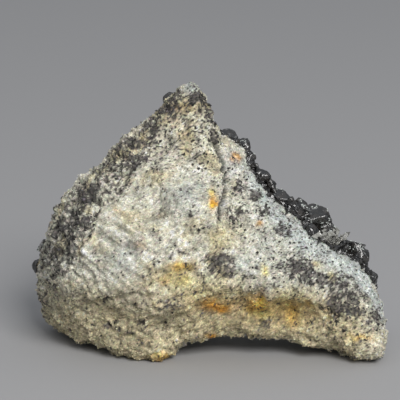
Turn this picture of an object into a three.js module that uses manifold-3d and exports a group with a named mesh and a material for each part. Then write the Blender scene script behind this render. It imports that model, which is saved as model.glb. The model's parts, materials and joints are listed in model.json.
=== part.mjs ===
// A sphalerite specimen: a broken lump of pale granular rock that stands on three feet, with a
// crust of dark sphalerite crystals over the slope that faces right and back, a few single
// crystals at its edges and a small spray of clear quartz.
// Millimetres, +Z up, the face with the most bare rock looks along -Y.

import * as THREE from "three";
import { ConvexGeometry } from "three/addons/geometries/ConvexGeometry.js";
import { ImprovedNoise } from "three/addons/math/ImprovedNoise.js";
import { mergeVertices } from "three/addons/utils/BufferGeometryUtils.js";
import Module from "manifold-3d";

const wasm = await Module();
wasm.setup();
const { clamp, degToRad, lerp, mapLinear, seededRandom: random, smoothstep } = THREE.MathUtils;

// Driving dimensions

const CELL = 3.65; // spacing of the sampling grid that the rock's skin is drawn on
const SEAT_GAP = 0.35; // clearance between the rock and a crystal that sits on it
const ARRIS = 5; // how far a worn edge between two fracture faces is rounded over
const RIM_ARRIS = 3; // the same along the outline, which stays crisper
const HALF_DEPTH = 31; // distance from the rim that makes the outline to the front and the back
const FALL = { front: 11, back: 26 }; // how much the sides fall away from the outline over it
const TOE_DEPTH = 27; // the front foot's distance in front of the middle
// Depth of that rim: at the base, its lean back for each unit of height, and on the left side,
// beyond a limit, its further lean back for each unit of width.
const RIM = { base: -16, rise: 0.24, limit: -15, left: 0.55 };
const VIEW_TILT = degToRad(14); // the outline is seen from this far above level

// Outline of the rock as it is seen from the front, anticlockwise from the lowest left corner:
// distance to the right of the middle, and height above the front foot.
const OUTLINE = [
  [-51.5, 11.2], [-40.6, 4.7], [-34.4, 3.7], [-28.2, 0.2], [-12.7, -0.6], [-10.5, 0.8], [-7.8, 5.6],
  [8.1, 7.6], [15, 6], [28.2, 5.9], [31.3, 3.4], [36.3, 4], [41.2, 2.5], [45, 0.2], [51.2, -0.9],
  [55, 2.6], [55, 9.2], [50.9, 24.3], [47.4, 29.8], [43.7, 32.6], [37.5, 35.2], [25.1, 46.9],
  [20.5, 50.2], [13.3, 59.4], [11, 67.4], [3.1, 70.8], [1.6, 73.2], [0.2, 79.4], [-1.9, 82.8],
  [-2.2, 85.6], [-4.7, 87.4], [-7.8, 86.4], [-16, 77], [-22.3, 72.7], [-26.6, 71], [-34, 61.6],
  [-38.4, 59.2], [-46.6, 50], [-53.7, 32], [-54.6, 26.7],
].map(([u, v]) => new THREE.Vector2(u, v));

// Fracture faces: a point on each and the way it looks.
const FACES = [
  { name: "upper front", at: [-18, -30, 35], looks: [-0.24, -0.77, 0.6] },
  { name: "left side", at: [-44, -18, 38], looks: [-0.94, -0.34, 0.05] },
  { name: "left foot", at: [-18, -30, 33], looks: [-0.44, -0.9, -0.06] },
  { name: "right front", at: [22, -25, 35], looks: [0.42, -0.66, 0.62] },
  { name: "right foot", at: [46, -29, 6], looks: [0.12, -0.99, 0.08] },
  { name: "crystal slope", at: [28, 5, 37.6], looks: [0.635, 0.6, 0.487] },
  { name: "back", at: [0, 29.5, 18], looks: [-0.1, 0.94, 0.33] },
  { name: "left back", at: [-55, 17, 26], looks: [-0.72, 0.58, 0.37] },
  { name: "right end", at: [57, -14, 8], looks: [0.95, 0.22, 0.2] },
  { name: "base", at: [0, 0, 0.6], looks: [0, 0, -1] },
].map(({ name, at, looks }) => {
  const normal = new THREE.Vector3(...looks).normalize();
  return { name, normal, offset: normal.dot(new THREE.Vector3(...at)) };
});

// Lumps that stand out of the fracture faces, and hollows that are broken out of them.
const LUMPS = [
  { name: "horn", centre: [-6.5, 3.6, 75], radii: [9.5, 7, 11], blend: 6 },
  { name: "belly", centre: [-20, -17, 29], radii: [27, 14, 19], blend: 12 },
  { name: "front left foot", centre: [-19, -18, 3.5], radii: [12, 9.5, 5], blend: 4 },
  { name: "back left foot", centre: [-30, 14, 3.5], radii: [13, 9, 5], blend: 4 },
  { name: "right foot", centre: [46, -18, 4.5], radii: [10, 10, 7], blend: 6 },
  { name: "right heel", centre: [33, 8, 3.5], radii: [10, 9, 5], blend: 5 },
  { name: "right shoulder", centre: [24, -17, 28], radii: [17, 8, 9], blend: 7 },
  { name: "chip above the arch", centre: [33, -22, 4.5], radii: [4.5, 5, 4], blend: 3 },
];
const HOLLOWS = [
  { name: "recess over the arch", centre: [14, -37, 12], radii: [27, 13, 12], blend: 8 },
  { name: "arch", centre: [11, -4, -2], radii: [18, 60, 7.5], blend: 3 },
  { name: "step under the horn", centre: [-6, -9, 83], radii: [15, 8, 6], blend: 2 },
  { name: "scoop beside the peak", centre: [9, -13, 79], radii: [9, 12, 9], blend: 4 },
  { name: "crease in the left foot", centre: [-38, -29, 13], radii: [11, 4.5, 4], blend: 8 },
];

// Ledges on the front, where one slab of rock has broken off beside another: the line of each in the
// outline's plane, its height, half the width that it falls over, and how far from the line the
// lower slab begins and ends to rise again.
const LEDGES = [
  {
    name: "right of the peak",
    line: [[4.5, 33], [2.9, 40], [4.5, 48], [4.8, 55], [3.2, 63], [1.5, 72]],
    upright: true, // the rock to the right of it lies lower
    height: 2,
    half: 1.2,
    rises: [2, 22],
  },
  {
    name: "overhang above the arch",
    line: [[-22, 16], [-12, 15], [-8, 16], [-3, 19], [11, 21.4], [20.5, 20], [28, 19], [36, 17], [46, 12]],
    upright: false, // the rock below it lies lower
    height: 2.4,
    half: 1.2,
    rises: [2, 12],
  },
];

// Undulation of the broken surface: height and span of each layer of lumps.
const WAVES = [
  { height: 2.8, span: 19 },
  { height: 2.3, span: 9 },
];
// Nearer than this to the outline the undulation grows less, down to a least share.
const CALM = { rim: 8, least: 0.25 };

// Sphalerite crystals that show along the slope's edge: place in the outline's plane and size.
const EDGE_CRYSTALS = [
  [6, 68.4, 7], [10, 66.2, 5.6], [11.6, 62.8, 4.6], [13.4, 59.4, 5], [16.4, 57.2, 5.4], [18.6, 55.2, 5.4],
  [20.6, 53, 5.4], [22, 50.6, 5.4], [24, 48.6, 5.4], [27.6, 47.6, 6], [33, 45, 9.4], [37, 40, 6.8],
  [40.6, 37.2, 5.6], [44.4, 36, 7.6], [46.4, 33, 5.6], [46.8, 30, 4],
];
// A second row close behind them.
const SECOND_ROW = [
  [6.6, 64.4, 7], [9.4, 59, 7], [13.4, 53, 8], [18, 48.4, 8], [23, 43.8, 8], [28.4, 41, 8.6],
  [33, 37.4, 8.6], [38, 33.4, 8], [42.6, 30.6, 7],
];
// Groups of them that have not grown together with the crust, from the lowest up.
const GROUP_NAMES = ["lower_row_crystals", "middle_row_crystals", "upper_row_crystals"];
// One that has grown over the edge, onto the front.
const FRONT_CRYSTAL = [39, 35.4, 6];
// Single crystals away from the crust: place, size, and the side of the rock that they grow on.
const SINGLE_CRYSTALS = [
  { name: "peak_crystal", at: [-11.4, 80.4, 6], side: "far" },
  { name: "left_upper_crystal", at: [-51.6, 35, 4.2], side: "far" },
  { name: "left_lower_crystal", at: [-53.4, 29, 4.6], side: "far" },
  { name: "right_edge_crystal", at: [49.4, 26, 4], side: "far" },
  { name: "front_upper_crystal", at: [30.4, 39.8, 5], side: "near" },
];
// The rest of the crust, which covers the slope behind those rows.
const CRUST = {
  spacing: 7.6,
  stray: 2, // how far a crystal may stray from its place in the rows
  facing: 0.7, // least agreement between the way the rock looks and the way the slope does
  size: [8.8, 11.5], // least and most
  least: 6, // no smaller crystal is kept
  cover: 0.56, // share of its size that each keeps within the outline
  down: [-54, 33], // reach down the slope, from its point nearest the origin
  back: [-45, 6], // reach across the slope, the same way
  seed: 14,
};
// Least and most that a crystal's middle stands above the rock, as a share of its size.
const STANDS = [0.1, 0.3];
// Share of the crystals that are tetrahedra with their corners cut off, how much of each edge the
// cut takes, how much a crystal may be drawn out, and the most that it is turned, in radians.
const HABIT = { share: 0.6, cut: 0.3, drawn: 0.35, turn: 6 };

// Clear quartz beside the crystals: how far each prism leans right and back, its length and radius.
const QUARTZ_AT = [38.4, 37];
const QUARTZ_ROOT = 2; // how far a prism reaches into the rock
const QUARTZ_TIP = 1.6; // length of its point, in radii
const QUARTZ = [
  { lean: [1.3, 0.1], length: 7.6, radius: 0.75 },
  { lean: [-1, -0.4], length: 5.6, radius: 1.1 },
  { lean: [-0.3, -0.9], length: 4.6, radius: 1.2 },
  { lean: [0.3, -0.4], length: 4.4, radius: 1 },
];

// Materials

const stone = new THREE.MeshStandardMaterial({ color: 0xa8a496, roughness: 0.95 });
const sphalerite = new THREE.MeshStandardMaterial({ color: 0x1d1a1a, roughness: 0.22, metalness: 0.1 });
const quartz = new THREE.MeshStandardMaterial({
  color: 0xe6e8e4,
  roughness: 0.1,
  transparent: true,
  opacity: 0.55,
});

// The rock's form, as a signed distance: negative inside

const noise = new ImprovedNoise();
const smoothMax = (a, b, k) => Math.max(a, b) + Math.max(k - Math.abs(a - b), 0) ** 2 / (4 * k);
const smoothMin = (a, b, k) => -smoothMax(-a, -b, k);

// Height of a point in the outline's plane, along the tilted line of sight.
const sightHeight = (p) => p.z * Math.cos(VIEW_TILT) + (p.y + TOE_DEPTH) * Math.sin(VIEW_TILT);

// The point at depth y that is seen at (u, v) in the outline's plane.
function sightPoint([u, v], y) {
  return new THREE.Vector3(u, y, (v - (y + TOE_DEPTH) * Math.sin(VIEW_TILT)) / Math.cos(VIEW_TILT));
}

// Distance in the outline's plane from (u, v) to the outline, negative inside it.
function outlineDistance(u, v) {
  let nearest = Infinity;
  let inside = false;
  OUTLINE.forEach((b, i) => {
    const a = OUTLINE.at(i - 1);
    const [du, dv] = [b.x - a.x, b.y - a.y];
    const along = ((u - a.x) * du + (v - a.y) * dv) / (du * du + dv * dv);
    const share = clamp(along, 0, 1);
    nearest = Math.min(nearest, Math.hypot(u - a.x - share * du, v - a.y - share * dv));
    const crosses = a.y > v !== b.y > v;
    if (crosses && u < a.x + (du * (v - a.y)) / dv) inside = !inside;
  });
  return inside ? -nearest : nearest;
}

function ellipsoidDistance(p, { centre: [x, y, z], radii: [rx, ry, rz] }) {
  const [i, j, k] = [(p.x - x) / rx, (p.y - y) / ry, (p.z - z) / rz];
  const reach = Math.hypot(i, j, k);
  return (reach * (reach - 1)) / Math.max(Math.hypot(i / rx, j / ry, k / rz), 1e-6);
}

// How far the surface at depth y drops past a ledge, which dies out at its ends and at the back.
function ledgeDrop({ line, upright, height, half, rises }, y, u, v) {
  const [along, across] = upright ? [v, u] : [u, -v];
  const corners = line.map((corner) => (upright ? [corner[1], corner[0]] : [corner[0], -corner[1]]));
  const next = corners.findIndex(([start]) => start > along);
  if (y > 0 || next < 1) return 0;
  const [[a, edgeA], [b, edgeB]] = [corners[next - 1], corners[next]];
  const past = across - mapLinear(along, a, b, edgeA, edgeB);
  const [first, second, beforeLast, last] = [0, 1, -2, -1].map((i) => corners.at(i)[0]);
  const ends = smoothstep(along, first, second) * (1 - smoothstep(along, beforeLast, last));
  return height * ends * smoothstep(past, -half, half) * (1 - smoothstep(past, ...rises));
}

const rimDepth = (u, v) => RIM.base + RIM.rise * v - RIM.left * Math.min(u - RIM.limit, 0);
const sideFall = (depth) => (depth > 0 ? FALL.back : FALL.front) * (depth / HALF_DEPTH) ** 2;

function form(p) {
  const [u, v] = [p.x, sightHeight(p)];
  const outline = outlineDistance(u, v);
  let d = -Infinity;
  for (const face of FACES) d = smoothMax(d, face.normal.dot(p) - face.offset, ARRIS);
  for (const lump of LUMPS) d = smoothMin(d, ellipsoidDistance(p, lump), lump.blend);
  d = smoothMax(d, outline + sideFall(p.y - rimDepth(u, v)), RIM_ARRIS);
  for (const hollow of HOLLOWS) d = smoothMax(d, -ellipsoidDistance(p, hollow), hollow.blend);
  for (const ledge of LEDGES) d += ledgeDrop(ledge, p.y, u, v);
  const calm = clamp(-outline / CALM.rim, CALM.least, 1);
  WAVES.forEach(({ height, span }, i) => {
    d += calm * height * noise.noise(p.x / span + 7 * i, p.y / span, p.z / span + 3 * i);
  });
  return d;
}

// Visits every step (i, j, k) of a grid.
function eachStep(count, visit) {
  for (let k = 0; k < count.z; k++)
    for (let j = 0; j < count.y; j++) for (let i = 0; i < count.x; i++) visit(i, j, k);
}

// The form measured at every corner of a grid that fills a box.
function sampled(field, box, cell) {
  const count = box.getSize(new THREE.Vector3()).divideScalar(cell).ceil().addScalar(1);
  const strides = [1, count.x, count.x * count.y];
  const index = (i, j, k) => i + j * strides[1] + k * strides[2];
  const corner = (i, j, k) => new THREE.Vector3(i, j, k).multiplyScalar(cell).add(box.min);
  const values = new Float32Array(count.x * count.y * count.z);
  eachStep(count, (i, j, k) => (values[index(i, j, k)] = field(corner(i, j, k))));
  return { cells: count.clone().subScalar(1), cell, strides, index, corner, values };
}

// Skin of a sampled form: one vertex in each grid cell that its surface passes through, and a
// four-sided face across each grid edge that the surface cuts.
function skin({ cells, cell, strides, index, corner, values }) {
  const offsets = Array.from({ length: 8 }, (_, n) => new THREE.Vector3(n & 1, (n >> 1) & 1, n >> 2));
  const vertexOf = new Map();
  const positions = [];
  eachStep(cells, (i, j, k) => {
    const heights = offsets.map((o) => values[index(i + o.x, j + o.y, k + o.z)]);
    const sum = new THREE.Vector3();
    let cuts = 0;
    for (let from = 0; from < 8; from++) {
      for (const to of [from | 1, from | 2, from | 4]) {
        if (heights[from] < 0 === heights[to] < 0) continue;
        const share = heights[from] / (heights[from] - heights[to]);
        sum.add(offsets[from].clone().lerp(offsets[to], share));
        cuts++;
      }
    }
    if (!cuts) return;
    vertexOf.set(index(i, j, k), positions.length / 3);
    positions.push(...corner(i, j, k).addScaledVector(sum, cell / cuts).toArray());
  });

  const vertex = (n) => new THREE.Vector3().fromArray(positions, 3 * n);
  const span = (a, b) => vertex(a).distanceTo(vertex(b));
  const triangles = [];
  eachStep(cells, (i, j, k) => {
    const here = index(i, j, k);
    for (let axis = 0; axis < 3; axis++) {
      const inside = values[here] < 0;
      if (inside === values[here + strides[axis]] < 0) continue;
      const [s, t] = [strides[(axis + 1) % 3], strides[(axis + 2) % 3]];
      const ring = [here, here - s, here - s - t, here - t].map((cellIndex) => vertexOf.get(cellIndex));
      if (!inside) ring.reverse();
      if (span(ring[0], ring[2]) > span(ring[1], ring[3])) ring.push(ring.shift());
      triangles.push(ring[0], ring[1], ring[2], ring[0], ring[2], ring[3]);
    }
  });
  const geometry = new THREE.BufferGeometry();
  geometry.setAttribute("position", new THREE.Float32BufferAttribute(positions, 3));
  return geometry.setIndex(triangles);
}

// The same skin, moved outwards by the given distance.
function grown(geometry, distance) {
  const moved = geometry.clone();
  moved.computeVertexNormals();
  const { position, normal } = moved.attributes;
  position.array.forEach((x, i) => (position.array[i] = x + distance * normal.array[i]));
  return moved;
}

// Solids

function solidOf(geometry) {
  const bare = geometry.clone().deleteAttribute("normal").deleteAttribute("uv");
  const welded = mergeVertices(bare, 1e-4);
  return new wasm.Manifold(
    new wasm.Mesh({
      numProp: 3,
      vertProperties: new Float32Array(welded.attributes.position.array),
      triVerts: new Uint32Array(welded.index.array),
    }),
  );
}

function geometryOf(solid) {
  const mesh = solid.getMesh();
  const geometry = new THREE.BufferGeometry();
  geometry.setAttribute("position", new THREE.Float32BufferAttribute(mesh.vertProperties, 3));
  return geometry.setIndex(Array.from(mesh.triVerts)).toNonIndexed();
}

const joined = (solids) => solids.reduce((whole, solid) => whole.add(solid));
const bodiesOf = (solid) => solid.decompose().sort((a, b) => b.volume() - a.volume());
const largest = (solid) => bodiesOf(solid)[0];

// Points along a line of sight through the rock: the depth of the first, their spacing and number.
const SIGHT_LINE = { start: -35, spacing: 0.5, length: 141 };
const ROOM = new THREE.Box3(new THREE.Vector3(-62, -40, -5), new THREE.Vector3(62, 42, 92));
const FLOOR = new THREE.BoxGeometry(200, 200, 40).translate(0, 0, -20);

const rockSkin = skin(sampled(form, ROOM, CELL));
const rock = largest(solidOf(rockSkin).subtract(solidOf(FLOOR)));
// Everything within the seat gap of the rock, which crystals are cut back to.
const seat = solidOf(grown(rockSkin, SEAT_GAP));

// Corners of the two habits that sphalerite grows in, about 1 across.
function tetrahedralHabit() {
  const corners = [[1, 1, 1], [1, -1, -1], [-1, 1, -1], [-1, -1, 1]].map((c) => new THREE.Vector3(...c));
  const scale = 0.5;
  return corners.flatMap((a) =>
    corners.filter((b) => b !== a).map((b) => a.clone().lerp(b, HABIT.cut).multiplyScalar(scale)),
  );
}

function dodecahedralHabit() {
  const signs = [-1, 1];
  const cube = signs.flatMap((x) => signs.flatMap((y) => signs.map((z) => new THREE.Vector3(x, y, z))));
  const tips = signs.flatMap((s) => [[2 * s, 0, 0], [0, 2 * s, 0], [0, 0, 2 * s]]);
  const scale = 0.29;
  return [...cube, ...tips.map((t) => new THREE.Vector3(...t))].map((c) => c.multiplyScalar(scale));
}

const HABITS = [tetrahedralHabit(), dodecahedralHabit()];

// One crystal of the given size about a middle point, turned and drawn out a little at random.
function crystal(middle, size) {
  const habit = HABITS[random() < HABIT.share ? 0 : 1];
  const angle = () => random() * HABIT.turn;
  const turn = new THREE.Euler(angle(), angle(), angle());
  const drawn = () => size * (1 + HABIT.drawn * (random() - 0.5));
  const extent = new THREE.Vector3(drawn(), drawn(), drawn());
  const corners = habit.map((c) => c.clone().multiply(extent).applyEuler(turn).add(middle));
  return solidOf(new ConvexGeometry(corners));
}

// The way the rock's surface looks at p.
function outward(p) {
  const reach = 0.4;
  const rise = [[reach, 0, 0], [0, reach, 0], [0, 0, reach]].map((step) => {
    const move = new THREE.Vector3(...step);
    return form(p.clone().add(move)) - form(p.clone().sub(move));
  });
  return new THREE.Vector3(...rise).normalize();
}

// The point of the rock's surface nearest to p, found by short steps towards it.
function onSurface(p) {
  const [steps, share] = [12, 0.7];
  const q = p.clone();
  for (let n = 0; n < steps; n++) q.addScaledVector(outward(q), -share * form(q));
  return q;
}

// The point where the line of sight through (u, v) meets the rock at its near or its far side, or
// where it passes closest to the rock if it misses.
function seenPoint(place, side) {
  const { start, spacing, length } = SIGHT_LINE;
  const points = Array.from({ length }, (_, i) => sightPoint(place, start + i * spacing));
  const distances = points.map(form);
  const inside = points.filter((_, i) => distances[i] < 0);
  if (inside.length) return side === "near" ? inside[0] : inside.at(-1);
  return points[distances.indexOf(Math.min(...distances))];
}

// A crystal at a point, moved in or out so that its middle stands no further than it may above
// the rock's surface.
function grownAt(point, size) {
  const height = clamp(form(point), size * STANDS[0], size * STANDS[1]);
  const foot = onSurface(point);
  return crystal(foot.addScaledVector(outward(foot), height), size);
}

const seenCrystal = ([u, v, size], side) => grownAt(seenPoint([u, v], side), size);

// The stretch of the crust that is hidden behind the edge: crystals at a loose spacing over the
// crystal slope, none of them so near the outline that it would stand out of it.
function slopeCrystals() {
  const { normal, offset } = FACES.find((face) => face.name === "crystal slope");
  const down = new THREE.Vector3(normal.z, 0, -normal.x).normalize();
  const back = normal.clone().cross(down);
  const origin = normal.clone().multiplyScalar(offset);
  const crystals = [];
  let stagger = 0;
  for (let s = CRUST.down[0]; s < CRUST.down[1]; s += CRUST.spacing) {
    stagger = CRUST.spacing / 2 - stagger;
    for (let t = CRUST.back[0] + stagger; t < CRUST.back[1]; t += CRUST.spacing) {
      const size = lerp(...CRUST.size, random());
      const p = origin.clone().addScaledVector(down, s + (random() - 0.5) * CRUST.stray);
      p.addScaledVector(back, t + (random() - 0.5) * CRUST.stray);
      const point = onSurface(p);
      const faces = outward(point).dot(normal) > CRUST.facing;
      const room = Math.min(-outlineDistance(point.x, sightHeight(point)) / CRUST.cover, point.z);
      if (faces && room > CRUST.least) crystals.push(grownAt(point, Math.min(size, room)));
    }
  }
  return crystals;
}

// A six-sided prism with a pointed end, standing at base and leaning as given.
function quartzPrism(base, { lean, length, radius }, grow = 0) {
  const up = new THREE.Vector3(lean[0], lean[1], 1).normalize();
  const turn = new THREE.Quaternion().setFromUnitVectors(new THREE.Vector3(0, 0, 1), up);
  const r = radius + grow;
  const ring = (z) => Array.from({ length: 6 }, (_, i) =>
    new THREE.Vector3(r * Math.cos((i * Math.PI) / 3), r * Math.sin((i * Math.PI) / 3), z));
  const shoulder = length - QUARTZ_TIP * radius;
  const tip = new THREE.Vector3(0, 0, length + grow);
  const corners = [...ring(-QUARTZ_ROOT - grow), ...ring(shoulder), tip];
  return solidOf(new ConvexGeometry(corners.map((c) => c.applyQuaternion(turn).add(base))));
}

// Assembly

const specimen = new THREE.Group();

function place(name, solid, material) {
  const mesh = new THREE.Mesh(geometryOf(solid), material);
  mesh.name = name;
  specimen.add(mesh);
}

random(CRUST.seed);
const quartzBase = onSurface(seenPoint(QUARTZ_AT, "near"));
const sprayOf = (grow) => joined(QUARTZ.map((prism) => quartzPrism(quartzBase, prism, grow)));
const rows = [...EDGE_CRYSTALS, ...SECOND_ROW].map((c) => seenCrystal(c, "far"));
const crystals = joined([...rows, ...slopeCrystals(), seenCrystal(FRONT_CRYSTAL, "near")]);
const [crust, ...groups] = bodiesOf(crystals.subtract(seat).subtract(sprayOf(SEAT_GAP)));
const foot = (solid) => solid.boundingBox().min[2];
groups.sort((a, b) => foot(a) - foot(b));

place("matrix", rock, stone);
place("sphalerite_crust", crust, sphalerite);
GROUP_NAMES.forEach((name, i) => place(name, groups[i], sphalerite));
for (const { name, at, side } of SINGLE_CRYSTALS) {
  place(name, largest(seenCrystal(at, side).subtract(seat).subtract(sprayOf(SEAT_GAP))), sphalerite);
}
place("quartz_spray", largest(sprayOf(0).subtract(seat)), quartz);

// The origin is the middle of the box that the specimen fills, at its base.
const extent = new THREE.Box3().setFromObject(specimen);
const middle = extent.getCenter(new THREE.Vector3());
specimen.position.set(-middle.x, -middle.y, -extent.min.z);

export default specimen;
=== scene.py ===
"""Looks of a sphalerite specimen: a pale, sugary rock made of grains, with a crust of dark lustrous
crystals and a little clear quartz, on a plain floor in soft light. Lengths are in millimetres until
they reach a mesh, a light or the camera."""

import json
import math

import bpy
import numpy as np
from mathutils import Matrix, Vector, noise
from mathutils.bvhtree import BVHTree


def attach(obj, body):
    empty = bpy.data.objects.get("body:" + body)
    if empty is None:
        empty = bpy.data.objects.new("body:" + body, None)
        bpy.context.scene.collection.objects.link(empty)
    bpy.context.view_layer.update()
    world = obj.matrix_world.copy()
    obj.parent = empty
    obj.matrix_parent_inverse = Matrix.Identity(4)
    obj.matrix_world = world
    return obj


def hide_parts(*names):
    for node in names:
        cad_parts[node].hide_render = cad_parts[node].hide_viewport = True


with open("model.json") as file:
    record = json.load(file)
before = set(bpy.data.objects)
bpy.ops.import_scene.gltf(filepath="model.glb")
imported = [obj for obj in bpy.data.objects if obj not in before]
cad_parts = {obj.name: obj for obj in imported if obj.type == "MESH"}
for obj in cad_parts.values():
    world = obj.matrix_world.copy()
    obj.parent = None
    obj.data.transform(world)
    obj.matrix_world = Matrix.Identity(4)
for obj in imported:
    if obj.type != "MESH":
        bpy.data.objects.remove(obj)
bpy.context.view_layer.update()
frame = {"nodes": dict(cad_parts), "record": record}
MM = 0.001
random = np.random.default_rng(7)

# View of the specimen that the camera has, and that places on its front are given in: a distance u
# to the right of the middle and a height v above the front foot, in the plane across the view

TILT = math.radians(14)  # how far above level the camera stands
MIDDLE_U = 0.73  # the row frame's x where u is 0
TOE_V = 5.73  # v of the row frame's origin
TOWARDS = np.array([0, -math.cos(TILT), math.sin(TILT)])  # from the specimen to the camera
UPWARDS = np.array([0, math.sin(TILT), math.cos(TILT)])  # up in the view
SLOPE = np.array([0.635, 0.6, 0.487])  # the way that the slope under the crystals looks


def in_view(points):
    """u and v of points in millimetres."""
    return points[:, 0] - MIDDLE_U, points @ UPWARDS + TOE_V


# Relief of the rock

VOXEL = 0.55  # spacing of the rock's mesh
SMOOTHING = 4  # rounds that take away the solid's flat facets
LUMPS = [(9, 0.5), (3.6, 0.5), (1.5, 0.35)]  # span and height of each layer of rounded unevenness
CHIPS = [(5.6, 0.85), (2.5, 0.5)]  # span and height of each layer of broken corners with creases between
GRAIN_RELIEF = 0.12  # how far single points of the rock stand out or in
SUNK = 0.12  # how far the rock lies within its solid, which its grains reach

# The crack beside the slab that has sunk, from the bottom up.
CRACK = [(3.1, 37.5), (4, 48.4), (5.3, 54.6), (5, 60.8), (3.1, 65.4), (1.2, 71.6)]
CRACK_WIDTH, CRACK_DEPTH = 0.7, 2
# The rock hangs over along this line, and lies further back below it.
OVERHANG = [
    (-20.5, 15.2), (-13.6, 14.6), (-8.1, 16.1), (-2.8, 18.9), (3.4, 19.8), (9.5, 20.6), (15.2, 16.8),
    (20.5, 19.8), (28.2, 18.9), (36, 17), (39, 15.2), (46.8, 12.1), (53, 9),
]
# A shorter crease above the left foot.
CREASE = [(-36, 18.4), (-31, 20.4), (-27.6, 21.4), (-24.2, 22.6), (-18.8, 23)]
UNDERCUTS = [(OVERHANG, 0.6, 5), (CREASE, 1, 3)]  # line, depth, and how far down each goes
LIP_HEIGHT, LIP_WIDTH = 0.45, 1.6  # the lip above an undercut, its height as a share of the depth
# Pits: place and radius.
PITS = [
    (-31.9, 18.6, 0.8), (-20.5, 12.1, 1.3), (-30.7, 11.8, 0.9), (-27.3, 10.9, 0.7), (-23.9, 8.7, 0.9),
    (-28.5, 13.3, 0.5), (-18, 11.4, 0.5), (-29.8, 16.4, 0.45),
]
PIT_DEPTH = 1.3  # depth of a pit as a share of its radius
# Lumps: place, radii and height.
BULGES = [(15.2, 19, 4, 3, 2), (3.4, 17.2, 4, 2, 1.1), (-5, 86, 4, 2.5, 0.7)]
# Streaks that run down to the right over the left side: middle and radii of their area, their slant,
# their spans along and across, and their height.
STREAKS = {
    "at": (-29, 35),
    "radii": (14, 15),
    "slant": math.radians(-36),
    "span": (8, 1.0),
    "height": 0.95,
}
SMOOTH_STEPS = (0.5, -0.51)  # towards the neighbours and back, so that the form doesn't shrink

# Colour of the rock, as places in the view

CREAM, GREY_BLUE, BEIGE = np.array([[0.7, 0.675, 0.56], [0.47, 0.505, 0.48], [0.58, 0.5, 0.3]])
SOOT, RIM_WHITE = np.array([[0.1, 0.092, 0.085], [0.61, 0.65, 0.62]])
BLACK = np.array([0.06, 0.055, 0.053])
OCHRE, ORANGE, RUST = np.array([[0.66, 0.44, 0.13], [0.74, 0.36, 0.05], [0.32, 0.16, 0.03]])
# The amber is an orange stain's colour painted brighter than the stain is: partly painted light.
YELLOW, UMBER, AMBER_AND_PAINTED_LIGHT = np.array([[0.74, 0.62, 0.24], [0.36, 0.3, 0.16], [0.9, 0.54, 0.12]])
PALE_GREY = np.array([0.78, 0.78, 0.72])
# Stains and other tints, the wide ones first, among them painted shade and painted light: place, radii,
# strength and colour.
STAINS_AND_PAINTED_LIGHT = [
    # The first two are painted shade: brown below the overhang, and a darker band over the crease above the
    # left foot.
    (14, 13, 22, 4.5, 0.5, UMBER), (-27, 21, 16, 6, 0.25, UMBER), (8, 19, 18, 3, 0.35, OCHRE),
    (7.6, 62, 2.6, 4.5, 0.6, PALE_GREY), (-7, 79, 7, 3, 0.45, UMBER), (24, 16, 8, 3, 0.4, OCHRE),
    (5, 40, 6, 4, 0.25, YELLOW), (-4, 24, 10, 4, 0.3, YELLOW), (25, 20, 6, 3, 0.3, YELLOW),
    (1.2, 52.5, 1.1, 1.8, 0.9, YELLOW), (1.4, 49.4, 1.3, 1.9, 0.9, ORANGE),
    (8.7, 63.2, 1.6, 1.3, 0.6, ORANGE), (-8.1, 30.1, 4, 1.5, 0.9, OCHRE), (-9, 26, 4, 2.6, 0.6, YELLOW),
    (-14, 25.7, 2.2, 1.2, 0.5, OCHRE), (4, 17, 3.1, 1.4, 1, RUST), (1, 18.2, 3, 1.6, 0.7, ORANGE),
    # The amber spot is a real orange stain on the lip, painted brighter as painted light.
    (15.2, 19.2, 3, 2.6, 1, AMBER_AND_PAINTED_LIGHT), (14, 16.4, 2.4, 1.6, 0.8, OCHRE),
    (16.4, 14.9, 2.6, 1.2, 0.8, YELLOW), (25.1, 15.2, 2.2, 3.2, 0.8, OCHRE),
    (29.8, 18, 1.2, 1.2, 0.7, OCHRE), (0.9, 8.1, 1.8, 0.9, 0.8, ORANGE),
    (16.4, 28.8, 1.1, 1.8, 0.7, YELLOW), (14.9, 42.8, 1.1, 1.1, 0.6, ORANGE),
    (-20.5, 36.6, 1.6, 2, 0.35, RUST), (45.3, 8.7, 4.2, 1.2, 0.6, OCHRE),
    (32.6, 30.7, 1.6, 0.9, 0.5, YELLOW), (36.6, 27, 0.9, 1.4, 0.5, YELLOW),
    (-9, 78, 6, 2.2, 0.25, OCHRE), (-14, 2, 4.2, 1.2, 0.8, OCHRE),
]
# Patches thick with dark grains: place, radii and strength.
DARK_PATCHES = [
    (-8.1, 34.4, 1.4, 0.7, 1), (-11.5, 33.2, 1, 0.8, 0.8), (2.4, 31.5, 4, 2.6, 0.8),
    (4.5, 28.5, 3, 2.4, 0.7), (27, 29.6, 3, 2.8, 1), (32, 27, 4, 2.8, 1), (20.5, 29.8, 1.3, 1.1, 0.8),
    (39.8, 24, 3.8, 4, 0.55), (38.4, 17.6, 4.2, 3.2, 1), (44, 19, 4, 4, 0.6), (50, 13.6, 2.4, 2.6, 0.7),
    (14.3, 51.5, 1.7, 2.1, 0.8), (9.3, 53.6, 1.9, 2.4, 0.8), (-12, 19, 5, 2.6, 0.4),
    (17, 12.5, 2.8, 1.6, 0.6), (-5.2, 44.8, 1.1, 1.3, 0.7), (-4.7, 81.2, 3.6, 1.5, 0.8),
    (-13, 76.5, 3, 3, 0.5), (8, 46, 3, 3, 0.45), (22.5, 41, 2.4, 2.4, 0.6), (16, 46.5, 2, 2, 0.6),
    (-12, 81.5, 2.2, 4, 1),
]
# Bluish, finer places: place, radii and strength.
COOL_PATCHES = [
    (-6, 52, 8, 5.5, 0.8), (-27.6, 32.9, 7, 6, 0.8), (9.5, 30.5, 2.6, 3.2, 0.7), (0.3, 41.8, 3.2, 2.6, 0.6),
    (-5.4, 84.6, 4, 3, 1), (7.4, 62, 3, 4.5, 0.8),
]
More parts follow.
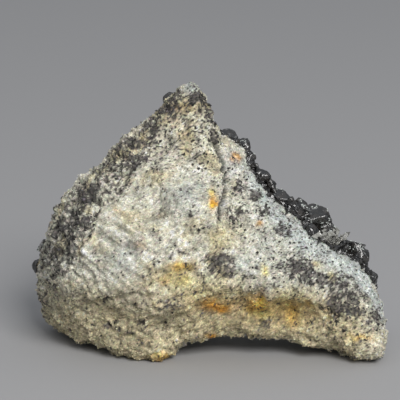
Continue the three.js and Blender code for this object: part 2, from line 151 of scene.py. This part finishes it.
# Places with many small dark specks: place, radii and share.
SPECKLED = [
    (26, 38, 16, 15, 0.13), (10, 52, 9, 9, 0.13), (-7, 68, 13, 11, 0.2), (-6, 79, 9, 5, 0.2),
    (44, 16, 9, 9, 0.12), (6, 26, 16, 6, 0.08),
]
# The dark left side ends at this line, from the bottom up.
LEFT_DARK = [(-52, 5), (-49, 15), (-40, 31), (-31, 45), (-18, 60), (-14, 75)]
# The darkest band of it, from the bottom up.
LEFT_BAND = [
    (-46, 30), (-46, 42), (-43, 46.8), (-37.8, 52.4), (-31.6, 59.2), (-22, 63.9), (-21, 69.4),
    (-17, 76),
]
LEFT_BAND_WIDTH = 5.2
# Painted shade: a dark edge right of the peak, where the face turns away, from the bottom up.
PEAK_SHADE_EDGE = [(4.4, 56), (4.2, 62), (2.4, 69), (0.8, 73), (-0.6, 79), (-2, 82)]
PEAK_SHADE_EDGE_WIDTH = 1.4
# Smooth, pale rim along the foot of the crystals, from left to right.
CRYSTAL_RIM = [
    (8, 62), (14, 55), (20.5, 45.3), (28.2, 38), (37.5, 32.9), (45.3, 28.2), (49.9, 20.5), (53, 15),
]
CRYSTAL_RIM_WIDTH = 3.2
# Bits of quartz below the largest crystal: the middle and the radii of their area.
QUARTZ_BITS = (35.5, 38.2, 3.2, 1.6)
EDGE_WAVES = (2.6, 1.1)  # span and size of the waviness of all these places
# How far a face turns to the view where the front's colours and its relief begin and are full.
FRONT_PAINT, FRONT_RELIEF = (-0.1, 0.15), (0.05, 0.3)
NEAR_CRYSTALS = (0.4, 4)  # distances from a crystal between which the rock changes

# Grains of the rock's minerals

CLUSTERS = [(7, 0.6), (3, 1.1), (1.5, 1.1)]  # span and strength of the layers that grains gather in
PALE_SHARE = 0.48  # share of the rock's points that have a pale grain
DARK_SHARE = 0.02  # share of dark grains in plain rock
PALE_SIZE, DARK_SIZE = (0.26, 0.64), (0.2, 1.0)
GRAIN_LIMIT = 24000  # grains in one piece
GRAIN_SHAPES = 24  # different shapes of grains and small crystals
# Small crystals between the large ones, and bits of quartz and pale grains on the crystals: the share
# of the mesh's points that have one, and their sizes.
SMALL_SHARE, SMALL_SIZE = 0.4, (0.6, 2.6)
BITS_SHARE, BITS_SIZE = 0.13, (0.6, 1.8)
DUST_SHARE, DUST_SIZE = 0.06, (0.22, 0.57)

# Shared helpers


def smoothstep(x, low, high):
    t = np.clip((x - low) / (high - low), 0, 1)
    return t * t * (3 - 2 * t)


def mixed(a, b, share):
    return a + (b - a) * np.asarray(share)[..., None]


def waves(points, span, seed=0):
    """Smooth noise of about -1 to 1, with lumps of the given span. Each seed gives another noise."""
    shifted = points / span + np.array([17.3, 5.1, 9.7]) * (seed + 1)
    return np.array([noise.noise(p) for p in shifted.tolist()])


def chips(points, span, seed=0):
    """Rough noise of about -0.7 to 1: broken corners with creases between them."""
    bend = np.column_stack([waves(points, span, seed + k) for k in range(3)])
    shifted = points / span + 0.45 * bend + seed
    nearest = np.array([noise.voronoi(p)[0][:2] for p in shifted.tolist()])
    return 2 * (nearest[:, 1] - nearest[:, 0]) - 0.7


def spot(u, v, place, radii):
    return np.exp(-(((u - place[0]) / radii[0]) ** 2) - ((v - place[1]) / radii[1]) ** 2)


def spots(u, v, places):
    """Sum of soft spots, each given by its place, radii and strength."""
    return sum(strength * spot(u, v, (a, b), (c, d)) for a, b, c, d, strength in places)


def near_line(distance, width):
    """1 on a line and less beside it."""
    return np.exp(-((distance / width) ** 2))


def u_of(line, v):
    """u of a line at height v."""
    return np.interp(v, [corner[1] for corner in line], [corner[0] for corner in line])


def v_of(line, u):
    """v of a line at u."""
    return np.interp(u, [corner[0] for corner in line], [corner[1] for corner in line])


def mesh_points(mesh):
    points = np.empty(3 * len(mesh.vertices), np.float32)
    mesh.vertices.foreach_get("co", points)
    return points.reshape(-1, 3).astype(float)


def mesh_normals(mesh):
    normals = np.empty(3 * len(mesh.vertices), np.float32)
    mesh.vertex_normals.foreach_get("vector", normals)
    return normals.reshape(-1, 3).astype(float)


def move_points(mesh, points):
    mesh.vertices.foreach_set("co", (points * MM).astype(np.float32).ravel())
    mesh.update()


def paint(mesh, colours):
    """Keeps a colour at each vertex, for the material."""
    layer = mesh.color_attributes.new(name="tint", type="FLOAT_COLOR", domain="POINT")
    rgba = np.column_stack([colours, np.ones(len(colours))])
    layer.data.foreach_set("color", rgba.astype(np.float32).ravel())


def random_sizes(limits, count, skew=1):
    """Random sizes between two limits. With a higher skew more of them are small."""
    low, high = limits
    return low + (high - low) * random.random(count) ** skew


def add_piece(name, mesh, material, smooth):
    piece = bpy.data.objects.new(name, mesh)
    bpy.context.scene.collection.objects.link(piece)
    mesh.materials.clear()
    mesh.materials.append(material)
    mesh.polygons.foreach_set("use_smooth", [smooth] * len(mesh.polygons))
    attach(piece, "root")
    return piece


def remeshed(node, voxel):
    """A node's form as an even mesh, its points in millimetres and the mean of each one's neighbours."""
    copy = bpy.data.objects.new("remeshed", frame["nodes"][node].data.copy())
    bpy.context.scene.collection.objects.link(copy)
    remesh = copy.modifiers.new("even", "REMESH")
    remesh.mode = "VOXEL"
    remesh.voxel_size = voxel * MM
    evaluated = copy.evaluated_get(bpy.context.evaluated_depsgraph_get())
    mesh = bpy.data.meshes.new_from_object(evaluated)
    bpy.data.objects.remove(copy)
    mesh.name = node
    points = mesh_points(mesh) / MM
    edges = np.empty(2 * len(mesh.edges), np.int32)
    mesh.edges.foreach_get("vertices", edges)
    ends = edges.reshape(-1, 2)
    a, b = np.concatenate([ends, ends[:, ::-1]]).T
    neighbours = np.bincount(a, minlength=len(points))[:, None]

    def mean(values):
        return np.column_stack([np.bincount(a, values[b, k], len(values)) for k in range(3)]) / neighbours

    return mesh, points, mean


# Materials


def new_material(name):
    material = bpy.data.materials.new(name)
    material.use_nodes = True
    material.node_tree.nodes.clear()
    return material, material.node_tree


def add_node(tree, kind, inputs=None, **settings):
    """A new node. An input takes a value or the socket that feeds it."""
    node = tree.nodes.new(kind)
    for key, value in settings.items():
        setattr(node, key, value)
    for key, value in (inputs or {}).items():
        if isinstance(value, bpy.types.NodeSocket):
            tree.links.new(value, node.inputs[key])
        else:
            node.inputs[key].default_value = value
    return node


def noise_node(tree, span, detail=3.0, rough=0.6):
    where = add_node(tree, "ShaderNodeTexCoord")
    inputs = {"Vector": where.outputs["Object"], "Scale": 1 / (span * MM)}
    inputs |= {"Detail": detail, "Roughness": rough}
    return add_node(tree, "ShaderNodeTexNoise", inputs).outputs["Fac"]


def cells_node(tree, span):
    """Small cells, each with its own value from 0 to 1, and the distance from each one's middle."""
    where = add_node(tree, "ShaderNodeTexCoord")
    inputs = {"Vector": where.outputs["Object"], "Scale": 1 / (span * MM)}
    cells = add_node(tree, "ShaderNodeTexVoronoi", inputs)
    parts = add_node(tree, "ShaderNodeSeparateColor", {"Color": cells.outputs["Color"]})
    return parts.outputs["Red"], cells.outputs["Distance"]


def ramp(tree, factor, start, end):
    """Maps one range of values onto another."""
    inputs = {"Value": factor, "From Min": start[0], "From Max": start[1]}
    inputs |= {"To Min": end[0], "To Max": end[1]}
    return add_node(tree, "ShaderNodeMapRange", inputs).outputs["Result"]


def mix(tree, a, b, factor, blend="MIX"):
    """A mix of two colours. A colour and the factor are each a value or the socket that feeds it."""
    inputs = {0: factor, 6: a, 7: b}  # the sockets for colours share their names with others
    return add_node(tree, "ShaderNodeMix", inputs, data_type="RGBA", blend_type=blend).outputs[2]


def times(tree, a, b):
    return mix(tree, a, b, 1, "MULTIPLY")


def bump(tree, height, strength, distance):
    inputs = {"Height": height, "Strength": strength, "Distance": distance * MM}
    return add_node(tree, "ShaderNodeBump", inputs).outputs["Normal"]


def surface(tree, **inputs):
    shader = add_node(tree, "ShaderNodeBsdfPrincipled", {k.replace("_", " "): v for k, v in inputs.items()})
    add_node(tree, "ShaderNodeOutputMaterial", {"Surface": shader.outputs["BSDF"]})


NOISE_RANGE = (0.3, 0.7)  # most of what a noise gives


def ground_material():
    """The rock between the larger grains: finer grains, each of its own shade."""
    material, tree = new_material("rock ground")
    tint = add_node(tree, "ShaderNodeVertexColor", layer_name="tint").outputs["Color"]
    shade, distance = cells_node(tree, 0.42)
    coarse = noise_node(tree, 0.9)
    colour = times(tree, tint, ramp(tree, shade, (0, 1), (0.62, 1.3)))
    colour = times(tree, colour, ramp(tree, coarse, NOISE_RANGE, (0.82, 1.14)))
    gloss = ramp(tree, shade, (0, 1), (0.6, 1))
    surface(tree, Base_Color=colour, Roughness=gloss, Normal=bump(tree, distance, 0.7, -0.25))
    return material


def grain_material(name, span, shades, roughness):
    """A grain that takes its colour from the mesh, with finer variation of shade and gloss."""
    material, tree = new_material(name)
    tint = add_node(tree, "ShaderNodeVertexColor", layer_name="tint").outputs["Color"]
    fine = noise_node(tree, span)
    colour = times(tree, tint, ramp(tree, fine, NOISE_RANGE, shades))
    gloss = ramp(tree, fine, NOISE_RANGE, roughness)
    surface(tree, Base_Color=colour, Roughness=gloss, Normal=bump(tree, fine, 0.3, span))
    return material


def sphalerite_material():
    """Nearly black, lustrous crystal, brown in places and pale grey in others, partly dust and partly a
    painted sheen.
    """
    material, tree = new_material("sphalerite")
    brown = ramp(tree, noise_node(tree, 2.2, 4), (0.45, 0.75), (0, 1))
    colour = mix(tree, (0.004, 0.004, 0.0045, 1), (0.05, 0.042, 0.036, 1), brown)
    # Pale grey patches: dust on the crystals, and a painted sheen.
    dusty = ramp(tree, noise_node(tree, 1.4, 5, 0.7), (0.58, 0.68), (0, 0.8))
    colour = mix(tree, colour, (0.3, 0.31, 0.31, 1), dusty)
    fine = noise_node(tree, 1.1, 4)
    gloss = ramp(tree, fine, NOISE_RANGE, (0.06, 0.34))
    surface(tree, Base_Color=colour, Roughness=gloss, IOR=2.0, Normal=bump(tree, fine, 0.55, 0.45))
    return material


def quartz_material(name, colour, clear):
    material, tree = new_material(name)
    gloss = ramp(tree, noise_node(tree, 0.8), NOISE_RANGE, (0.04, 0.2))
    surface(tree, Base_Color=colour, Roughness=gloss, IOR=1.55, Transmission_Weight=clear)
    return material


def floor_material():
    material, tree = new_material("floor")
    surface(tree, Base_Color=(0.42, 0.42, 0.43, 1), Roughness=0.9)
    return material


GROUND = ground_material()
PALE = grain_material("pale grain", 0.35, (0.8, 1.12), (0.35, 0.7))
DARK = grain_material("dark grain", 0.35, (0.6, 1.3), (0.2, 0.5))
SPHALERITE = sphalerite_material()
QUARTZ = quartz_material("quartz", (0.93, 0.92, 0.87, 1), 0.9)
MILKY_QUARTZ = quartz_material("milky quartz", (0.5, 0.5, 0.46, 1), 0.3)

# The rock: its relief, and what each place of it is like

CRYSTAL_NODES = [row["node"] for row in frame["record"]["subparts"] if row["material_slot"] == "sphalerite"]


def node_tree(nodes):
    """A tree of the nodes' triangles, for distances in millimetres."""
    points, faces = [], []
    for node in nodes:
        mesh = frame["nodes"][node].data
        mesh.calc_loop_triangles()
        faces += [[len(points) + i for i in triangle.vertices] for triangle in mesh.loop_triangles]
        points += [vertex.co / MM for vertex in mesh.vertices]
    return BVHTree.FromPolygons(points, faces)


def distances(tree, points, most):
    found = [tree.find_nearest(p, most)[3] for p in points.tolist()]
    return np.array([most if d is None else d for d in found])


def streaks(points):
    """Noise of about -1 to 1, drawn out along the streaks."""
    u, v = in_view(points)
    slant = STREAKS["slant"]
    along = (u * math.cos(slant) + v * math.sin(slant)) / STREAKS["span"][0]
    across = (v * math.cos(slant) - u * math.sin(slant)) / STREAKS["span"][1]
    return waves(np.column_stack([along, across, points[:, 1] / 6]), 1, 14)


def cool_places(points, u, v, front, near, rim):
    """Share of bluish, finer rock."""
    hidden = smoothstep(waves(points, 11, 23), 0, 0.5)
    cool = front * (spots(u, v, COOL_PATCHES) + 0.9 * rim) + (1 - front) * hidden + 0.6 * near
    right_side = front * smoothstep(u, 5, 16) * smoothstep(v, 18, 26)
    return np.clip(np.clip(cool, 0, 1) + 0.5 * right_side, 0, 1)


def dark_places(points, normals, u, v, front, left, crusted):
    """Share of rock that is thick with dark grains, with painted shade along the edge right of the peak."""
    dark = 1 - np.prod([1 - s * spot(u, v, (a, b), (c, d)) for a, b, c, d, s in DARK_PATCHES], axis=0)
    patchy = np.clip(0.75 + 0.9 * waves(points, 6, 24) + 0.5 * waves(points, 2.4, 30), 0.1, 1.6)
    band = near_line(u - u_of(LEFT_BAND, v), LEFT_BAND_WIDTH) * smoothstep(v, 28, 40)
    paler_edge = smoothstep(0.55 - normals @ TOWARDS, 0, 0.4) * smoothstep(v, 32, 44)
    dark = dark + (0.44 * left + 0.5 * band) * patchy * (1 - 0.65 * paler_edge)
    # Painted shade along the edge right of the peak, as more dark grains.
    dark = dark + 0.6 * near_line(u - u_of(PEAK_SHADE_EDGE, v), PEAK_SHADE_EDGE_WIDTH) * smoothstep(v, 56, 76)
    pits = sum(spot(u, v, (a, b), (radius, radius)) for a, b, radius in PITS)
    hidden = 0.5 * smoothstep(waves(points, 9, 25) + 0.5 * waves(points, 3.5, 26), 0.1, 0.7)
    return np.clip(front * (dark + pits) + (1 - front) * hidden + 0.7 * crusted, 0, 1)


def warm_places(points, u, v, front):
    """Share of beige rock: below the overhang, on the left and under the peak."""
    below = v_of(OVERHANG, u) - v + 5 * waves(points, 9, 39)
    low = smoothstep(below, -15, 4) * (1 - 0.6 * smoothstep(u, 43, 50))
    yellowed = smoothstep(waves(points, 8, 37) + 0.5 * waves(points, 3, 38), 0, 0.6)
    patches = 0.85 * yellowed * (1 - 0.8 * smoothstep(u, 4, 12)) + 0.2 * smoothstep(v, 58, 66)
    hidden = smoothstep(waves(points, 16, 27), -0.1, 0.4)
    return front * np.maximum(low, patches) + (1 - front) * hidden


def rock_colour(points, u, v, front, cool, rim):
    warm = warm_places(points, u, v, front)
    colour = mixed(mixed(CREAM, GREY_BLUE, 0.85 * cool), RIM_WHITE, 0.8 * front * rim)
    colour = mixed(colour, BEIGE, 0.8 * warm * (1 - cool))
    for a, b, c, d, strength, stain_or_painted_light in STAINS_AND_PAINTED_LIGHT:
        share = np.clip(1.3 * front * strength * spot(u, v, (a, b), (c, d)), 0, 1)
        colour = mixed(colour, stain_or_painted_light, share)
    rusty = smoothstep(waves(points, 7, 28) + 0.4 * waves(points, 2.5, 29), 0.35, 0.7)
    return mixed(colour, OCHRE, 0.7 * (1 - front) * rusty)


def rock_places(points, normals):
    """What each point of the rock is like: its colour, its share of dark grains and so on."""
    distance = distances(node_tree(CRYSTAL_NODES), points, NEAR_CRYSTALS[1])
    near = 1 - smoothstep(distance, *NEAR_CRYSTALS)
    front = smoothstep(normals @ TOWARDS, *FRONT_PAINT)
    crusted = smoothstep(near, 0.3, 0.9) * smoothstep(normals @ SLOPE, 0.55, 0.8)
    u, v = in_view(points)
    u = u + EDGE_WAVES[1] * waves(points, EDGE_WAVES[0], 21)
    v = v + EDGE_WAVES[1] * waves(points, EDGE_WAVES[0], 22)
    rim = near_line(v - v_of(CRYSTAL_RIM, u), CRYSTAL_RIM_WIDTH) * smoothstep(u, 8, 18)
    left = 1 - smoothstep(u - u_of(LEFT_DARK, v), -5, 3)
    cool = cool_places(points, u, v, front, near, rim)
    streaked = spot(u, v, STREAKS["at"], STREAKS["radii"]) * front
    return {
        "near": near,
        "crusted": crusted,
        "cool": cool,
        "dark": dark_places(points, normals, u, v, front, left, crusted),
        "left": left,
        "specks": front * spots(u, v, SPECKLED),
        "streaked": streaked,
        "streaks": streaked * streaks(points),
        "colour": rock_colour(points, u, v, front, cool, rim),
    }


def rock_relief(points, normals, places):
    """How far each point of the rock moves out along its normal, and its share of the crack."""
    u, v = in_view(points)
    front = smoothstep(normals @ TOWARDS, *FRONT_RELIEF)
    rise = sum(height * waves(points, span, i) for i, (span, height) in enumerate(LUMPS))
    rise += sum(height * chips(points, span, 51 + 5 * i) for i, (span, height) in enumerate(CHIPS))
    rise *= 1 - 0.5 * np.maximum(places["near"], 0.8 * places["cool"])
    rise *= 1 + 0.5 * places["left"] * front
    rise += 0.4 * places["near"] - SUNK

    crack_u = u_of(CRACK, v) + 0.7 * waves(points, 3, 11)
    bottom, full, top = CRACK[0][1], CRACK[1][1], CRACK[-1][1]
    length = smoothstep(v, bottom, full) * (1 - smoothstep(v, top - 3, top))
    crack = front * length * near_line(u - crack_u, CRACK_WIDTH)
    rise -= CRACK_DEPTH * crack

    for seed, (line, depth, reach) in enumerate(UNDERCUTS, 12):
        below = v_of(line, u) + 0.8 * waves(points, 4, seed) - v
        start = smoothstep(u, line[0][0] - 1, line[0][0] + 4)
        ends = start * (1 - smoothstep(u, line[-1][0] - 4, line[-1][0] + 1))
        fall = smoothstep(below, -0.3, 0.9) * (1 - smoothstep(below, 1, reach))
        lip = LIP_HEIGHT * near_line(below + LIP_WIDTH, LIP_WIDTH)
        rise += front * ends * depth * (lip - fall)

    for pit_u, pit_v, radius in PITS:
        rise -= front * PIT_DEPTH * radius * spot(u, v, (pit_u, pit_v), (radius, radius))

    for at_u, at_v, width, height, out in BULGES:
        rise += front * out * spot(u, v, (at_u, at_v), (width, height))
    return rise + front * STREAKS["height"] * places["streaks"], crack


def grain_tones(points, places):
    """Colour of the grain at each point of the rock, and whether it is a dark one."""
    count = len(points)
    cluster = sum(weight * waves(points, span, 31 + i) for i, (span, weight) in enumerate(CLUSTERS))
    mottle = 0.5 * waves(points, 2.6, 35) + 0.7 * waves(points, 1.1, 36)
    mottle = mottle + random.normal(scale=0.18, size=count)
    soot = smoothstep(places["dark"] + mottle * smoothstep(places["dark"], 0.02, 0.3), 0.26, 0.54)
    share = DARK_SHARE - 0.09 * cluster + places["specks"] + 0.35 * soot - 0.03 * places["streaked"]
    is_dark = random.random(count) < np.clip(share, 0.01, 0.6)
    calm = 1 - 0.6 * np.maximum(places["streaked"], 0.6 * places["cool"])
    shade = np.exp(calm * (0.4 * cluster + random.normal(scale=0.2, size=count)) + places["streaks"])
    tinge = random.normal(1, 0.04, (count, 3))
    pale = places["colour"] * tinge * shade[:, None]
    pale = mixed(pale, SOOT * tinge * shade[:, None] ** 1.6, 0.85 * soot)
    black = BLACK * tinge * random.lognormal(0, 0.6, (count, 1))
    return np.clip(np.where(is_dark[:, None], black, pale), 0.01, 0.9), is_dark


def build_rock():
    mesh, points, mean = remeshed("matrix", VOXEL)
    for n in range(2 * SMOOTHING):
        points = points + SMOOTH_STEPS[n % 2] * (mean(points) - points)
    move_points(mesh, points)
    normals = mesh_normals(mesh)
    places = rock_places(points, normals)
    rise, crack = rock_relief(points, normals, places)
    grain = random.normal(scale=GRAIN_RELIEF, size=len(points)) * (1 - 0.4 * places["cool"])
    points = points + normals * (rise + grain)[:, None]
    points[:, 2] = np.maximum(points[:, 2], 0)
    move_points(mesh, points)
    tones, is_dark = grain_tones(points, places)
    # The crack is painted darker: painted shade in the slot.
    paint(mesh, tones * (1 - 0.85 * crack[:, None]))
    rock = add_piece("rock", mesh, GROUND, smooth=True)
    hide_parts("matrix")
    return points, mesh_normals(mesh), places, tones, is_dark, crack


# Grains and small crystals


def octahedra(count):
    """Corners and triangles of a few uneven octahedra, about 1 across."""
    corners = np.array([[1, 0, 0], [-1, 0, 0], [0, 1, 0], [0, -1, 0], [0, 0, 1], [0, 0, -1]]) * 0.55
    triangles = np.array([
        (0, 2, 4), (2, 1, 4), (1, 3, 4), (3, 0, 4), (2, 0, 5), (1, 2, 5), (3, 1, 5), (0, 3, 5),
    ])
    return corners + random.uniform(-0.18, 0.18, (count, 6, 3)), triangles


def turns(count):
    """Random rotations, as matrices."""
    q = random.normal(size=(count, 4))
    w, x, y, z = (q / np.linalg.norm(q, axis=1)[:, None]).T
    rows = [
        [1 - 2 * (y * y + z * z), 2 * (x * y - z * w), 2 * (x * z + y * w)],
        [2 * (x * y + z * w), 1 - 2 * (x * x + z * z), 2 * (y * z - x * w)],
        [2 * (x * z - y * w), 2 * (y * z + x * w), 1 - 2 * (x * x + y * y)],
    ]
    return np.array(rows).transpose(2, 0, 1)


def scatter(name, middles, sizes, material, colours=None):
    """One mesh of small uneven octahedra about the given middles."""
    shapes, triangles = octahedra(GRAIN_SHAPES)
    count = len(middles)
    stretch = random.uniform(0.75, 1.35, (count, 1, 3))
    bodies = shapes[random.integers(len(shapes), size=count)] * stretch * sizes[:, None, None]
    vertices = np.einsum("nij,nkj->nki", turns(count), bodies) + middles[:, None, :]
    vertices[..., 2] = np.maximum(vertices[..., 2], 0)
    faces = triangles[None] + shapes.shape[1] * np.arange(count)[:, None, None]
    mesh = bpy.data.meshes.new(name)
    mesh.from_pydata(vertices.reshape(-1, 3) * MM, [], faces.reshape(-1, 3))
    if colours is not None:
        paint(mesh, np.repeat(colours, shapes.shape[1], axis=0))
    add_piece(name, mesh, material, smooth=False)


def build_grains(points, normals, places, tones, is_dark, crack):
    count = len(points)
    middles = points + normals * random.uniform(-0.2, 0.08, count)[:, None]
    middles = middles + random.normal(scale=0.1, size=points.shape)
    pale_sizes = random_sizes(PALE_SIZE, count, 2.5)
    dark_sizes = random_sizes(DARK_SIZE, count, 4)
    open_rock = (crack < 0.3) & (places["crusted"] < 0.5)
    pale = np.flatnonzero(open_rock & ~is_dark & (random.random(count) < PALE_SHARE))
    dark = np.flatnonzero(open_rock & is_dark)
    for kind, chosen, sizes, material in [
        ("pale", pale, pale_sizes, PALE),
        ("dark", dark, dark_sizes, DARK),
    ]:
        groups = np.array_split(random.permutation(chosen), math.ceil(len(chosen) / GRAIN_LIMIT))
        for n, group in enumerate(groups):
            name = f"{kind}_grains_{n + 1}"
            scatter(name, middles[group], sizes[group], material, tones[group])


def build_small_crystals(points, normals, places):
    """Small sphalerite on the rock between the crystals."""
    chosen = np.flatnonzero(random.random(len(points)) < SMALL_SHARE * places["crusted"])
    sizes = random_sizes(SMALL_SIZE, len(chosen), 2.5)
    scatter("small_crystals", points[chosen] + 0.2 * normals[chosen], sizes, SPHALERITE)


def build_on_crystals(points, normals):
    """Bits of milky quartz below the largest crystal, and pale grains that stick to the crystals."""
    u, v = in_view(points)
    area = spot(u, v, QUARTZ_BITS[:2], QUARTZ_BITS[2:]) * (normals @ TOWARDS > 0)
    chosen = np.flatnonzero(random.random(len(points)) < BITS_SHARE * area)
    sizes = random_sizes(BITS_SIZE, len(chosen))
    scatter("quartz_bits", points[chosen] + 0.1 * normals[chosen], sizes, MILKY_QUARTZ)

    dusty = smoothstep(waves(points, 3, 43) + 0.5 * waves(points, 1.2, 44), 0.15, 0.5)
    chosen = np.flatnonzero(random.random(len(points)) < DUST_SHARE * dusty)
    sizes = random_sizes(DUST_SIZE, len(chosen))
    scatter("crystal_grains", points[chosen], sizes, PALE, np.tile(RIM_WHITE, (len(chosen), 1)))


# Crystals

# Size of the rounding of their edges, which differs from row to row.
CRYSTAL_ROUNDING = {"upper_row_crystals": 0.9, "middle_row_crystals": 0.9, "lower_row_crystals": 0.5}
PLAIN_ROUNDING = 0.6
CRYSTAL_VOXEL, CRUST_VOXEL = 0.22, 0.33  # spacing of their meshes
CRYSTAL_WAVES = [(2, 0.24), (0.8, 0.1)]  # span and height of each layer of unevenness


def build_crystals():
    seats = []
    for node in CRYSTAL_NODES:
        voxel = CRUST_VOXEL if node == "sphalerite_crust" else CRYSTAL_VOXEL
        mesh, points, mean = remeshed(node, voxel)
        rounding = CRYSTAL_ROUNDING.get(node, PLAIN_ROUNDING)
        for _ in range(round(2 * (rounding / voxel) ** 2)):
            points = points + 0.5 * (mean(points) - points)
        move_points(mesh, points)
        rise = sum(height * waves(points, span, 41 + i) for i, (span, height) in enumerate(CRYSTAL_WAVES))
        points = points + mesh_normals(mesh) * rise[:, None]
        move_points(mesh, points)
        piece = add_piece(node + "_faces", mesh, SPHALERITE, smooth=True)
        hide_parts(node)
        seats.append((points, mesh_normals(mesh)))
    build_on_crystals(*[np.concatenate(part) for part in zip(*seats)])


def build_quartz():
    node = frame["nodes"]["quartz_spray"]
    node.data.materials.clear()
    node.data.materials.append(QUARTZ)


# Floor, light and camera


def build_floor():
    mesh = bpy.data.meshes.new("floor")
    far = 6  # metres
    mesh.from_pydata([(-far, -far, 0), (far, -far, 0), (far, far, 0), (-far, far, 0)], [], [(0, 1, 2, 3)])
    mesh.materials.append(floor_material())
    floor = bpy.data.objects.new("floor", mesh)
    bpy.context.scene.collection.objects.link(floor)


def add_light(name, place, aim, size, power, colour):
    light = bpy.data.lights.new(name, "AREA")
    light.size = size
    light.energy = power
    light.color = colour
    lamp = bpy.data.objects.new(name, light)
    lamp.location = place
    lamp.rotation_euler = (Vector(aim) - Vector(place)).to_track_quat("-Z", "Y").to_euler()
    lamp.visible_camera = False
    bpy.context.scene.collection.objects.link(lamp)


KEY_PLACE, KEY_AIM = (0.5, -1.35, 1.1), (0, 0, 0.04)  # metres
KEY_SIZE, KEY_POWER = 0.8, 25  # metres and watts
KEY_COLOUR, SKY_COLOUR = (1, 0.985, 0.96), (0.93, 0.96, 1, 1)
SKY = (0.07, 0.5)  # strength of the light from all round, level with the specimen and overhead


def build_light():
    add_light("key", KEY_PLACE, KEY_AIM, KEY_SIZE, KEY_POWER, KEY_COLOUR)
    world = bpy.data.worlds.new("studio")
    world.use_nodes = True
    tree = world.node_tree
    where = add_node(tree, "ShaderNodeTexCoord").outputs["Generated"]
    height = add_node(tree, "ShaderNodeSeparateXYZ", {"Vector": where}).outputs["Z"]
    tree.links.new(ramp(tree, height, (-0.1, 1), SKY), tree.nodes["Background"].inputs["Strength"])
    tree.nodes["Background"].inputs["Color"].default_value = SKY_COLOUR
    bpy.context.scene.world = world
    bpy.context.scene.view_settings.view_transform = "Standard"


PIXEL = 0.31  # width of a pixel at the specimen
FRAME = 400  # pixels across the image
AIM_PIXEL = (209, 361)  # where u and v are 0 in the image
STAND_OFF = 900  # distance from the camera to the specimen


def build_camera():
    aim_u = (FRAME / 2 - AIM_PIXEL[0]) * PIXEL
    aim_v = (AIM_PIXEL[1] - FRAME / 2) * PIXEL
    aim = np.array([aim_u + MIDDLE_U, 0, 0]) + UPWARDS * (aim_v - TOE_V)
    camera = bpy.data.cameras.new("camera")
    camera.sensor_width = 36
    camera.lens = camera.sensor_width * STAND_OFF / (FRAME * PIXEL)
    camera.clip_end = 20
    body = bpy.data.objects.new("camera", camera)
    body.location = (aim + TOWARDS * STAND_OFF) * MM
    body.rotation_euler = (math.pi / 2 - TILT, 0, 0)
    bpy.context.scene.collection.objects.link(body)
    bpy.context.scene.camera = body


build_camera()
build_floor()
build_light()
rock_points, rock_normals, rock_kinds, rock_tones, rock_dark, rock_crack = build_rock()
build_grains(rock_points, rock_normals, rock_kinds, rock_tones, rock_dark, rock_crack)
build_small_crystals(rock_points, rock_normals, rock_kinds)
build_crystals()
build_quartz()
